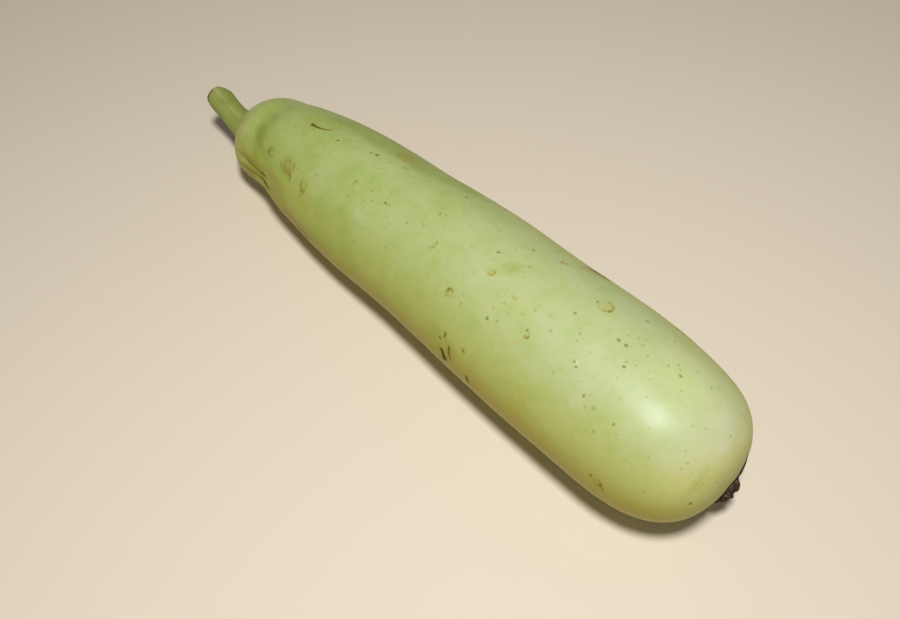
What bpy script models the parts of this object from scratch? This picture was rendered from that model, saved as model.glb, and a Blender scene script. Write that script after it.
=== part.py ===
"""A bottle gourd as picked, lying on its side: the fruit, the cut stalk it hung by and the dried flower at its far end.

The fruit lies along X, with its stalk towards -X. It is turned as a round body first. Formulas then give that body
its grown shape: slow swells and hollows, a soft groove and folds behind the rounded stalk end, a dimple for the
stalk, and a shallow scar for the dried flower. It rests on a small flat along its underside.

A place on the fruit is given as its distance along from the stalk end, and its angle around in degrees, which runs
from the top (0) over the -Y side (90) to the underside (180).
"""

import math

import bmesh
import bpy
from mathutils import Matrix, Vector

MM = 0.001

# The fruit: a neck that widens ever more slowly into the belly, closed by two rounded ends.
FRUIT_LENGTH = 260 * MM
BELLY_RADIUS = 32.5 * MM
NECK_NARROWING = 17 * MM
NARROWING_LENGTH = 65 * MM
STALK_END_ROUND = 17.5 * MM
STALK_END_POWER = 1.9
FLOWER_END_ROUND = 43.5 * MM
FLOWER_END_POWER = 2.6
OVAL = 0.02
SIDE_BEND = -0.95 * MM

# How closely it is turned. The steps round it crowd together on the folded side of the neck.
AROUND = 64
STALK_END_RINGS = 11
NECK_RINGS = 17
NECK_END = 52 * MM
BELLY_RINGS = 20
FLOWER_END_RINGS = 12
CROWDED_AROUND = 90
CROWDING = 0.35

# How it lies: the underside is a long shallow arc, cut flat where it would reach below the floor.
WEIGHT_CENTRE = 144 * MM
FLAT_DEPTH = 0.25 * MM
UNDERSIDE_RISE = 1.5 * MM
UNDERSIDE_REACH = 112 * MM

# The dimple that the stalk stands in, and the scar that carries the dried flower.
STALK_PLACE = (1 * MM, 140)
DIMPLE_DEPTH = 3.5 * MM
DIMPLE_FLOOR = 7.8 * MM
DIMPLE_RIM = 12 * MM
FLOWER_PLACE = (257.5 * MM, -156)
SCAR_DEPTH = 1.4 * MM
SCAR_FLOOR = 6 * MM
SCAR_RIM = 13 * MM

# The stalk: it leaves the fruit straight along -X and then curves upwards.
STALK_LENGTH = 24.5 * MM
STALK_RISE = 19.5
STALK_LEAN = 0.5 * MM
STALK_RADIUS = 5.35 * MM
STALK_FOOT_RADIUS = 7.0 * MM
STALK_FLARE = 11 * MM
STALK_RIBS = 5
STALK_RIB_HEIGHT = 0.03
STALK_CUT_SLANT = 32
STALK_CUT_LONG_SIDE = -26
STALK_CUT_ROUND = 1.2 * MM
PITH_SHARE = 0.5
PITH_DEPTH = 0.8 * MM
STALK_AROUND = 35
STALK_RINGS = 15

# The dried flower: a crumpled cup with a sunken middle.
FLOWER_RADIUS = 6.2 * MM
FLOWER_HEIGHT = 5.4 * MM
FLOWER_LOBES = 5
FLOWER_AROUND = 32
FLOWER_RINGS = 11

# Neighbours stand this far apart.
GAP = 0.3 * MM


def smooth(value, low, high):
    """0 at low, 1 at high, with level ends."""
    share = min(max((value - low) / (high - low), 0), 1)
    return share * share * (3 - 2 * share)


def bump(distance, width):
    """1 in the middle, falling to almost nothing at twice the width."""
    return math.exp(-((distance / width) ** 2))


def turned_by(around, middle):
    """The angle from the middle round to here, in degrees, the shorter way."""
    return math.remainder(around - middle, 360)


class Swell:
    """A soft rise of the skin about one place. A negative height makes it a hollow."""

    def __init__(self, along, around, reach_along, reach_around, height):
        self.along = along
        self.around = around
        self.reach_along = reach_along
        self.reach_around = reach_around
        self.height = height

    def rise(self, along, around):
        share_along = bump(along - self.along, self.reach_along)
        return self.height * share_along * bump(turned_by(around, self.around), self.reach_around)


class Fold:
    """A fold of the neck between two places. A negative height makes it a crease."""

    def __init__(self, start, end, width, height):
        self.start = start
        self.end = end
        self.width = width
        self.height = height

    def rise(self, along, around):
        degree = math.radians(flank_radius(along))
        run = Vector((self.end[0] - self.start[0], degree * (self.end[1] - self.start[1])))
        here = Vector((along - self.start[0], degree * turned_by(around, self.start[1])))
        share = min(max(here.dot(run) / run.length_squared, 0), 1)
        strength = math.sin(math.pi * (0.12 + 0.76 * share))
        return self.height * strength * bump((here - run * share).length, self.width)


# The belly's swells and hollows, first down the -Y side, then over the +Y shoulder and along the far side.
SWELLS = (
    Swell(16 * MM, 95, 9 * MM, 40, 0.85 * MM),
    Swell(33 * MM, 108, 9 * MM, 28, -1.1 * MM),
    Swell(80 * MM, 112, 24 * MM, 50, 0.95 * MM),
    Swell(122 * MM, 112, 22 * MM, 50, -0.65 * MM),
    Swell(182 * MM, 105, 30 * MM, 50, 0.6 * MM),
    Swell(60 * MM, -58, 20 * MM, 45, 0.2 * MM),
    Swell(103 * MM, -58, 22 * MM, 50, -1 * MM),
    Swell(170 * MM, -58, 18 * MM, 50, -0.6 * MM),
    Swell(232 * MM, -50, 16 * MM, 40, -1.5 * MM),
    Swell(70 * MM, -130, 30 * MM, 35, 0.5 * MM),
    Swell(150 * MM, -125, 35 * MM, 40, 0.5 * MM),
    Swell(130 * MM, 30, 30 * MM, 35, -0.3 * MM),
)

# The folds of the neck: two creases with a ridge between them on the -Y side, and shallower ones round it.
FOLDS = (
    Fold((16 * MM, 79), (46 * MM, 70), 2.1 * MM, -1.1 * MM),
    Fold((20 * MM, 91), (48 * MM, 84), 2.1 * MM, -1.2 * MM),
    Fold((17 * MM, 86), (36 * MM, 77), 1.9 * MM, 0.6 * MM),
    Fold((20 * MM, 112), (42 * MM, 104), 2.4 * MM, -0.8 * MM),
    Fold((14 * MM, 150), (38 * MM, 158), 2.8 * MM, -0.8 * MM),
    Fold((15 * MM, -120), (40 * MM, -112), 2.8 * MM, -0.9 * MM),
    Fold((17 * MM, -75), (34 * MM, -80), 2.8 * MM, -0.6 * MM),
)


def flank_radius(along):
    """The fruit's radius with both ends left open."""
    return BELLY_RADIUS - NECK_NARROWING * math.exp(-along / NARROWING_LENGTH)


def end_share(inset, power):
    """The share of the full radius at an inset from 0, where the end closes, to 1, where it is full."""
    return (1 - (1 - min(max(inset, 0), 1)) ** power) ** (1 / power)


def fruit_radius(along):
    stalk_end = end_share(along / STALK_END_ROUND, STALK_END_POWER)
    flower_end = end_share((FRUIT_LENGTH - along) / FLOWER_END_ROUND, FLOWER_END_POWER)
    return flank_radius(along) * stalk_end * flower_end


def stations():
    """Where the rings lie: close together on the rounded ends and the folded neck, and wider on the belly."""
    belly_end = FRUIT_LENGTH - FLOWER_END_ROUND
    for ring in range(STALK_END_RINGS):
        yield STALK_END_ROUND * (1 - math.cos(math.pi / 2 * ring / STALK_END_RINGS))
    for ring in range(NECK_RINGS):
        yield STALK_END_ROUND + (NECK_END - STALK_END_ROUND) * ring / NECK_RINGS
    for ring in range(BELLY_RINGS):
        yield NECK_END + (belly_end - NECK_END) * ring / BELLY_RINGS
    for ring in range(FLOWER_END_RINGS + 1):
        yield belly_end + FLOWER_END_ROUND * math.sin(math.pi / 2 * ring / FLOWER_END_RINGS)


def neck_groove(along, around):
    """The soft groove behind the rounded stalk end: deepest on top, and running back where it meets the folds."""
    middle = 24 * MM + 13 * MM * smooth(turned_by(around, 0), 40, 62)
    depth = 0.25 * MM + 0.85 * MM * bump(turned_by(around, 28), 50)
    return depth * bump(along - middle, 5 * MM)


def centre_line(along):
    """The middle of the fruit's section here, with the fruit lying on the floor."""
    full = min(max(along, STALK_END_ROUND), FRUIT_LENGTH - FLOWER_END_ROUND)
    underside = UNDERSIDE_RISE * ((full - WEIGHT_CENTRE) / UNDERSIDE_REACH) ** 2 - FLAT_DEPTH
    sideways = SIDE_BEND * (2 * along / FRUIT_LENGTH - 1) ** 2
    return Vector((along, sideways, flank_radius(full) * (1 - OVAL) + underside))


def grown_point(along, around, radius):
    """Where a point of the turned body lies on the grown fruit, before its dimple and scar are pressed in."""
    rise = sum(swell.rise(along, around) for swell in SWELLS)
    rise += sum(fold.rise(along, around) for fold in FOLDS)
    rise -= neck_groove(along, around)
    turn = math.radians(around)
    section = 1 - OVAL * math.cos(2 * turn)
    radius = radius * section + rise * smooth(radius, 3 * MM, 15 * MM)
    return centre_line(along) + radius * Vector((0, -math.sin(turn), math.cos(turn)))


def on_skin(along, around):
    return grown_point(along, around, fruit_radius(along))


def facing(along, around):
    """The direction that the skin faces at this place."""
    step = 0.5 * MM
    ahead = on_skin(along + step, around) - on_skin(along - step, around)
    aside = on_skin(along, around + 2) - on_skin(along, around - 2)
    return aside.cross(ahead).normalized()


STALK_POLE = on_skin(*STALK_PLACE)
STALK_AXIS = Vector((-1, 0, 0))
STALK_FOOT = STALK_POLE - STALK_AXIS * (DIMPLE_DEPTH - GAP)
FLOWER_POLE = on_skin(*FLOWER_PLACE)
FLOWER_AXIS = facing(*FLOWER_PLACE)
FLOWER_FOOT = FLOWER_POLE - FLOWER_AXIS * (SCAR_DEPTH - GAP)


def pressed(point, pole, axis, depth, floor, rim):
    """Presses the skin round a pole to a flat floor across the axis, easing out to the rim."""
    offset = point - pole
    height = offset.dot(axis)
    if height < -rim:
        return point
    spread = (offset - height * axis).length
    return point - axis * (height + depth) * (1 - smooth(spread, floor, rim))


def turned_body(name, profile, steps):
    """A closed round body about X, from (along, radius) points that start and end on the axis."""
    outline = bpy.data.meshes.new(name + "_outline")
    points = [(along, 0, radius) for along, radius in profile]
    outline.from_pydata(points, [(i, i + 1) for i in range(len(points) - 1)], [])
    guide = bpy.data.objects.new(name + "_outline", outline)
    bpy.context.scene.collection.objects.link(guide)
    screw = guide.modifiers.new("turn", "SCREW")
    screw.axis = "X"
    screw.steps = screw.render_steps = steps
    screw.use_merge_vertices = True
    screw.merge_threshold = 0.01 * MM
    graph = bpy.context.evaluated_depsgraph_get()
    body = bpy.data.meshes.new_from_object(guide.evaluated_get(graph))
    body.name = name
    bpy.data.objects.remove(guide)
    return body


def crowded(around):
    """Moves the even steps round the body towards the folded side of the neck."""
    offset = turned_by(around, CROWDED_AROUND)
    return around - math.degrees(CROWDING * math.sin(math.radians(offset)))


def cut_flat(mesh):
    """Cuts away what lies below the floor and closes the cut with one flat face."""
    form = bmesh.new()
    form.from_mesh(mesh)
    whole = form.verts[:] + form.edges[:] + form.faces[:]
    cut = bmesh.ops.bisect_plane(
        form, geom=whole, dist=0.02 * MM, plane_co=(0, 0, 0), plane_no=(0, 0, -1), clear_outer=True
    )
    rim = [part for part in cut["geom_cut"] if isinstance(part, bmesh.types.BMEdge)]
    for edge in rim:
        for corner in edge.verts:
            corner.co.z = 0
    bmesh.ops.holes_fill(form, edges=rim, sides=0)
    bmesh.ops.recalc_face_normals(form, faces=form.faces)
    form.to_mesh(mesh)
    form.free()


def make_fruit():
    profile = [(along, fruit_radius(along)) for along in stations()]
    mesh = turned_body("fruit", profile, AROUND)
    for vertex in mesh.vertices:
        along = vertex.co.x
        around = crowded(math.degrees(math.atan2(-vertex.co.y, vertex.co.z)))
        point = grown_point(along, around, math.hypot(vertex.co.y, vertex.co.z))
        if along < FRUIT_LENGTH / 2:
            point = pressed(point, STALK_POLE, STALK_AXIS, DIMPLE_DEPTH, DIMPLE_FLOOR, DIMPLE_RIM)
        else:
            point = pressed(point, FLOWER_POLE, FLOWER_AXIS, SCAR_DEPTH, SCAR_FLOOR, SCAR_RIM)
        vertex.co = point
    cut_flat(mesh)
    return mesh


def stalk_line(share):
    """A point of the stalk's middle line, from its foot (0) to the middle of its cut end (1)."""
    rise = math.radians(STALK_RISE)
    lean = Vector((0, -STALK_LEAN, 0))
    tip = STALK_FOOT + STALK_LENGTH * Vector((-math.cos(rise), 0, math.sin(rise))) + lean
    bend = STALK_FOOT + STALK_AXIS * STALK_LENGTH * 0.45 + lean
    return STALK_FOOT.lerp(bend, share).lerp(bend.lerp(tip, share), share)


def stalk_radius(share, around):
    """Blunt ribs on a stem that flares to its foot and thickens a little at the cut."""
    flare = (STALK_FOOT_RADIUS - STALK_RADIUS) * bump(share * STALK_LENGTH, STALK_FLARE)
    knuckle = 0.4 * MM * smooth(share, 0.6, 0.9)
    rim = STALK_CUT_ROUND * smooth(share, 0.9, 1.0) ** 2
    rib = 1 + STALK_RIB_HEIGHT * math.cos(STALK_RIBS * around) * (1 - 0.5 * bump(share, 0.2))
    return (STALK_RADIUS + flare + knuckle) * rib - rim


def make_stalk():
    """The ribbed stem, made as a straight tube and then laid along its line ring by ring."""
    form = bmesh.new()
    bmesh.ops.create_cone(form, segments=STALK_AROUND, radius1=1, radius2=1, depth=1, cap_ends=True)
    sides = [edge for edge in form.edges if abs(edge.verts[0].co.z - edge.verts[1].co.z) > 0.5]
    bmesh.ops.subdivide_edges(form, edges=sides, cuts=STALK_RINGS - 1)
    cut_face = max(form.faces, key=lambda face: face.calc_center_median().z)
    bmesh.ops.inset_region(form, faces=[cut_face], thickness=0.3)
    bmesh.ops.inset_region(form, faces=[cut_face], thickness=0.7 - PITH_SHARE)
    slant = math.tan(math.radians(STALK_CUT_SLANT))
    long_side = math.radians(STALK_CUT_LONG_SIDE)
    for vertex in form.verts:
        share = vertex.co.z + 0.5
        around = math.atan2(vertex.co.y, vertex.co.x)
        spread = math.hypot(vertex.co.x, vertex.co.y)
        ahead = (stalk_line(share + 0.01) - stalk_line(share - 0.01)).normalized()
        top = Vector((0, 1, 0)).cross(ahead).normalized()
        aside = ahead.cross(top)
        reach = spread * stalk_radius(share, around)
        point = stalk_line(share) + reach * (math.cos(around) * top + math.sin(around) * aside)
        point += ahead * slant * reach * math.cos(around - long_side) * smooth(share, 0.5, 1.0)
        if share > 0.999 and spread < PITH_SHARE + 0.01:
            point -= ahead * PITH_DEPTH
        vertex.co = point
    mesh = bpy.data.meshes.new("stalk")
    form.to_mesh(mesh)
    form.free()
    return mesh


def make_dried_flower():
    """What is left of the flower: a flat-footed crumpled knob with ragged lobes round a sunken middle."""
    form = bmesh.new()
    bmesh.ops.create_uvsphere(form, u_segments=FLOWER_AROUND, v_segments=FLOWER_RINGS, radius=1)
    turn = FLOWER_AXIS.to_track_quat("Z", "X")
    for vertex in form.verts:
        around = math.atan2(vertex.co.y, vertex.co.x)
        spread = math.hypot(vertex.co.x, vertex.co.y)
        level = vertex.co.z
        lobe = math.cos(FLOWER_LOBES * around + 2.2 * level)
        crumple = math.cos(11 * around - 3 * level) + math.sin(7 * around + 4 * spread)
        wide = FLOWER_RADIUS * spread * (1 + 0.1 * lobe + 0.05 * crumple) * (1 - 0.25 * smooth(level, 0, 0.9))
        height = FLOWER_HEIGHT * (max(level + 0.4, 0) / 1.4) * (1 + 0.1 * (lobe + crumple) * spread)
        height -= 0.3 * FLOWER_HEIGHT * bump(spread, 0.35) * smooth(level, 0.2, 0.8)
        vertex.co = FLOWER_FOOT + turn @ Vector((wide * math.cos(around), wide * math.sin(around), height))
    bmesh.ops.dissolve_degenerate(form, dist=0.01 * MM, edges=form.edges)
    mesh = bpy.data.meshes.new("dried_flower")
    form.to_mesh(mesh)
    form.free()
    return mesh


def finish_material(name, colour, roughness):
    material = bpy.data.materials.new(name)
    material.use_nodes = True
    shader = material.node_tree.nodes["Principled BSDF"]
    shader.inputs["Base Color"].default_value = (*colour, 1)
    shader.inputs["Roughness"].default_value = roughness
    shader.inputs["Metallic"].default_value = 0
    return material


def add_piece(collection, mesh, material):
    piece = bpy.data.objects.new(mesh.name, mesh)
    mesh.materials.append(material)
    mesh.shade_smooth()
    mesh.set_sharp_from_angle(angle=math.radians(40))
    collection.objects.link(piece)
    return piece


def centre_on_floor(pieces):
    """Moves the pieces in X and Y so that the origin is the middle of the gourd's outline on the floor."""
    corners = [vertex.co for piece in pieces for vertex in piece.data.vertices]
    low = Vector((min(corner.x for corner in corners), min(corner.y for corner in corners), 0))
    high = Vector((max(corner.x for corner in corners), max(corner.y for corner in corners), 0))
    for piece in pieces:
        piece.data.transform(Matrix.Translation(-(low + high) / 2))


def main():
    for old in list(bpy.data.objects):
        bpy.data.objects.remove(old)
    gourd = bpy.data.collections.new("bottle_gourd")
    bpy.context.scene.collection.children.link(gourd)
    pieces = [
        add_piece(gourd, make_fruit(), finish_material("gourd_skin", (0.46, 0.55, 0.20), 0.42)),
        add_piece(gourd, make_stalk(), finish_material("stalk_skin", (0.27, 0.36, 0.09), 0.6)),
        add_piece(gourd, make_dried_flower(), finish_material("dried_flower_husk", (0.07, 0.05, 0.035), 0.9)),
    ]
    centre_on_floor(pieces)


main()
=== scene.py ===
"""The looks of a bottle gourd as picked: its waxy, scarred skin, the cut stalk and the dried flower.

A place on the fruit is given as its distance along from the stalk end, in millimetres, and its angle
around in degrees, from the top (0) over the -Y side (90) to the underside (180). A turn is an angle on
the skin itself, in degrees, from the way along (0) towards the way around (90).
"""

import math
from contextlib import contextmanager

import bpy
import numpy as np
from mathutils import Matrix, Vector, noise


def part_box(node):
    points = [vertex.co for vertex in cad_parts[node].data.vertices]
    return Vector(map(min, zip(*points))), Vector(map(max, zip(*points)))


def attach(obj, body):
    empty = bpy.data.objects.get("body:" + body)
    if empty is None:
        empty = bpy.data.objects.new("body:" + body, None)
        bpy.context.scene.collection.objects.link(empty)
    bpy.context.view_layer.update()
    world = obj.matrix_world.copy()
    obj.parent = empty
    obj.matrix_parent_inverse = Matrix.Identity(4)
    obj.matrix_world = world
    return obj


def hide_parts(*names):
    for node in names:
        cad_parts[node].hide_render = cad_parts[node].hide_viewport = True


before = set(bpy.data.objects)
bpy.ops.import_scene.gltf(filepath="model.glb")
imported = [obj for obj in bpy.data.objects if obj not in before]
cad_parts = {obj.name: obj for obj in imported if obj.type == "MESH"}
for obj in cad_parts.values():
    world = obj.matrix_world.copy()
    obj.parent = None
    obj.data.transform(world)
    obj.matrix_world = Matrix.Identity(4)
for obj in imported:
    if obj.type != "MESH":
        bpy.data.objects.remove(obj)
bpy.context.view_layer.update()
fruit_low, fruit_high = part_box("fruit")
fruit_middle = (fruit_low + fruit_high) / 2
stalk_low, stalk_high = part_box("stalk")
flower_low, flower_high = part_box("dried_flower")
flower_middle = (flower_low + flower_high) / 2

MM = 0.001
MERGE = 0.01 * MM
QUAD_ANGLE = math.radians(60)

# The camera, set from the middle of the fruit's box on the floor.
CAMERA_PLACE = Vector((0.15844, -0.15996, 0.32412))
CAMERA_ROUND = 45.3
CAMERA_ABOVE = 55
CAMERA_LENS = 38
CAMERA_SENSOR = 36

# The light: one soft lamp over the flower end, and a pale room.
LAMP_PLACE = Vector((0.158, -0.142, 0.646))
LAMP_AIM = Vector((0.06, -0.01, 0.03))
LAMP_SIZE = 0.10
LAMP_POWER = 3.82
LAMP_COLOUR = (1.0, 0.98, 0.94)
ROOM_COLOUR = (1.0, 0.96, 0.86)
ROOM_STRENGTH = 0.13
FLOOR_SIZE = 6.0
FLOOR_COLOUR = (0.81, 0.725, 0.60)
FLOOR_ROUGHNESS = 0.7

# The skin's mesh. A division holds its reach in millimetres, and whether it is for the sharp marks alone.
SKIN_LEVELS = 1
SMOOTH_FORM_LEVELS = 3
DIVISIONS = ((2.0, False), (0.8, False), (0.45, True))
FAR = 6.0
LUMP_SIZE = 18 * MM
LUMP_HEIGHT = 0.35 * MM

# A mark's edge: how wide its relief fades, and the waves that make its outline uneven.
EDGE = 0.2
WAVER_TURNS = (2, 3, 5, 8)

# The line round a ring scar, as shares of its width: its mean, its heavier side and its breaks.
RING_WEIGHT = 0.4
RING_HEAVIER = 0.65
RING_BREAK = 0.2

# Those breaks: how many waves go round the ring, and how they turn with each millimetre along.
RING_BREAKS = ((3, 1), (7, 2))

# The colour sockets of a Mix node.
MIX_FIRST = 6
MIX_SECOND = 7
MIX_RESULT = 2

# A speck: the luck that gives it its full size, and the share of its radius over which its edge fades.
SPECK_LUCK = 1.1
SPECK_EDGE = 0.6


def select_only(piece):
    bpy.ops.object.select_all(action="DESELECT")
    piece.select_set(True)
    bpy.context.view_layer.objects.active = piece


@contextmanager
def edit_mode(piece):
    select_only(piece)
    bpy.ops.object.mode_set(mode="EDIT")
    yield
    bpy.ops.object.mode_set(mode="OBJECT")


def apply_modifier(piece, kind, **settings):
    modifier = piece.modifiers.new(kind.lower(), kind)
    for name, value in settings.items():
        setattr(modifier, name, value)
    select_only(piece)
    bpy.ops.object.modifier_apply(modifier=modifier.name)


def merged_copy(node, name, levels):
    """A copy of a CAD node: its loose triangles are merged and paired into quads, then smoothed."""
    piece = bpy.data.objects.new(name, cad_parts[node].data.copy())
    bpy.context.scene.collection.objects.link(piece)
    piece.data.materials.clear()
    with edit_mode(piece):
        bpy.ops.mesh.select_all(action="SELECT")
        bpy.ops.mesh.customdata_custom_splitnormals_clear()
        bpy.ops.mesh.remove_doubles(threshold=MERGE)
        bpy.ops.mesh.mark_sharp(clear=True)
        bpy.ops.mesh.tris_convert_to_quads(face_threshold=QUAD_ANGLE, shape_threshold=QUAD_ANGLE)
    apply_modifier(piece, "SUBSURF", levels=levels, render_levels=levels)
    piece.data.shade_smooth()
    return piece


def divide_where(piece, wanted):
    """Divides every face that has a wanted corner, both ways."""
    mesh = piece.data
    mesh.vertices.foreach_set("select", [False] * len(mesh.vertices))
    mesh.edges.foreach_set("select", [False] * len(mesh.edges))
    mesh.polygons.foreach_set("select", [bool(wanted[list(face.vertices)].any()) for face in mesh.polygons])
    bpy.context.tool_settings.mesh_select_mode = (False, False, True)
    with edit_mode(piece):
        bpy.ops.mesh.subdivide(number_cuts=1, ngon=False)


def read_points(mesh, what):
    flat = np.empty(len(mesh.vertices) * 3, np.float32)
    mesh.vertices.foreach_get(what, flat)
    return flat.reshape(-1, 3).astype(float)


def write_points(mesh, points):
    mesh.vertices.foreach_set("co", points.astype(np.float32).ravel())
    mesh.update()


def store(mesh, name, values):
    layer = mesh.attributes.new(name, "FLOAT", "POINT")
    layer.data.foreach_set("value", values.astype(np.float32))


def lumps(points, size, shift=0.0):
    """Smooth random lumps between -1 and 1, with a size in millimetres."""
    scale = 1 / (size * MM)
    offset = Vector((shift, shift, shift))
    return np.array([noise.noise(Vector(point) * scale + offset) for point in points])


def step(value, low, high):
    """0 below low, 1 above high, smooth between."""
    share = np.clip((value - low) / (high - low), 0, 1)
    return share * share * (3 - 2 * share)


class Place:
    """A point of the fruit's skin, with the directions along, around and out of the skin there."""

    def __init__(self, form, along, around):
        x = fruit_low.x + along * MM
        top = form.ray_cast(Vector((x, 0, 1)), Vector((0, 0, -1)))[1]
        bottom = form.ray_cast(Vector((x, 0, -1)), Vector((0, 0, 1)))[1]
        turn = math.radians(around)
        outward = Vector((0, -math.sin(turn), math.cos(turn)))
        self.point, normal = form.ray_cast((top + bottom) / 2, outward)[1:3]
        self.out = normal if normal.dot(outward) > 0 else -normal
        self.ahead = (Vector((1, 0, 0)) - self.out.x * self.out).normalized()
        self.aside = self.ahead.cross(self.out)


class Skin:
    """The fruit's points as arrays, on which the marks are drawn.

    A layer holds how far inside its marks each point lies, in millimetres, and less than nothing outside.
    """

    SHARP_LAYERS = ("cork", "dark", "green", "scab", "rust", "crease")
    SOFTER_LAYERS = ("mild", "faint", "tan", "pale")
    WIDE_LAYERS = ("callus", "groove", "bruise", "greener_and_shaded", "speckled", "painted_glow")

    def __init__(self, piece, form):
        self.form = form
        self.points = read_points(piece.data, "co")
        self.normals = read_points(piece.data, "normal")
        names = self.SHARP_LAYERS + self.SOFTER_LAYERS + self.WIDE_LAYERS
        self.layers = {name: np.full(len(self.points), -FAR) for name in names}
        self.rise = np.zeros(len(self.points))

    def marked(self, reach, sharp_only):
        """Which points lie in a small mark, or closer to one than the reach."""
        names = self.SHARP_LAYERS if sharp_only else self.SHARP_LAYERS + self.SOFTER_LAYERS
        return np.max([self.layers[name] for name in names], axis=0) > -reach

    def around_place(self, along, around, turn, reach):
        """The points near a place, and their offsets in millimetres ahead of it and to its side."""
        place = Place(self.form, along, around)
        offset = (self.points - np.array(place.point)) / MM
        near = np.flatnonzero((offset**2).sum(1) < reach**2)
        ahead = offset[near] @ np.array(place.ahead)
        aside = offset[near] @ np.array(place.aside)
        angle = math.radians(turn)
        across = math.cos(angle) * aside - math.sin(angle) * ahead
        return near, math.cos(angle) * ahead + math.sin(angle) * aside, across

    def draw(self, layer, near, inside, rise=0.0, edge=EDGE):
        """Raises the points inside a mark, or sinks them, and writes them into its layer if it has one."""
        if layer:
            self.layers[layer][near] = np.maximum(self.layers[layer][near], inside)
        self.rise[near] += rise * step(inside, -edge, edge)

    def oval(self, along, around, length, width, turn, outline):
        """The points near an oval, how far inside its outline they lie, and their angle round it."""
        near, ahead, across = self.around_place(along, around, turn, max(length, width) / 2 + FAR)
        angle = np.arctan2(across / width, ahead / length)
        spread = np.hypot(2 * ahead / length, 2 * across / width)
        edge = outline(angle) if outline else 1
        return near, (edge - spread) * min(length, width) / 2, angle

    def spot(self, layer, along, around, length, width, turn=0, outline=None, rise=0.0, edge=EDGE):
        near, inside, _ = self.oval(along, around, length, width, turn, outline)
        self.draw(layer, near, inside, rise, edge)

    def ring(self, layer, along, around, length, width, turn, line, heavy_side, outline):
        """A callus with a raised line round it, heavier on one side and thin or broken on the other."""
        near, inside, angle = self.oval(along, around, length, width, turn, outline)
        self.draw("callus", near, inside)
        broken = sum(RING_BREAK * np.sin(waves * angle + shift * along) for waves, shift in RING_BREAKS)
        weight = RING_WEIGHT + RING_HEAVIER * np.cos(angle - math.radians(heavy_side - turn)) + broken
        self.draw(layer, near, line / 2 * weight - np.abs(inside), RING_RISE)

    def stroke(self, layer, places, start_width, end_width, rise=0.0, edge=EDGE, pointed=False):
        """A line through places, whose width goes from start to end or, pointed, there and back."""
        route = [np.array(Place(self.form, *place).point) for place in places]
        runs = [last - first for first, last in zip(route, route[1:])]
        whole = sum(np.linalg.norm(run) for run in runs)
        inside = np.full(len(self.points), -FAR)
        passed = 0
        for first, run in zip(route, runs):
            length = np.linalg.norm(run)
            offset = self.points - first
            share = np.clip(offset @ run / length**2, 0, 1)
            gap = np.sqrt(((offset - share[:, None] * run) ** 2).sum(1)) / MM
            done = (passed + share * length) / whole
            if pointed:
                done = np.sin(math.pi * done)
            inside = np.maximum(inside, (start_width + (end_width - start_width) * done) / 2 - gap)
            passed += length
        near = np.flatnonzero(inside > -FAR)
        self.draw(layer, near, inside[near], rise, edge)


def waver(dice, share):
    """An uneven closed outline: a function of the angle that wanders about 1."""
    phases = dice.uniform(0, 2 * math.pi, len(WAVER_TURNS))

    def outline(angle):
        waves = sum(np.sin(turns * angle + phase) / turns for turns, phase in zip(WAVER_TURNS, phases))
        return 1 + share * waves

    return outline


def wire_in(socket, value):
    """Gives a node's input a value, a colour or the output of another node."""
    if isinstance(value, Wire):
        value.finish.tree.links.new(value.socket, socket)
    elif isinstance(value, tuple) and socket.type == "RGBA":
        socket.default_value = (*value, 1.0)
    else:
        socket.default_value = value


class Wire:
    """One node's output. Sums with it add Math nodes to its material."""

    def __init__(self, finish, socket):
        self.finish = finish
        self.socket = socket

    def sum_with(self, operation, first, second):
        return self.finish.node("Math", {"operation": operation}, {0: first, 1: second})

    def __add__(self, other):
        return self.sum_with("ADD", self, other)

    def __radd__(self, other):
        return self.sum_with("ADD", other, self)

    def __sub__(self, other):
        return self.sum_with("SUBTRACT", self, other)

    def __rsub__(self, other):
        return self.sum_with("SUBTRACT", other, self)

    def __mul__(self, other):
        return self.sum_with("MULTIPLY", self, other)

    def __rmul__(self, other):
        return self.sum_with("MULTIPLY", other, self)


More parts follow.
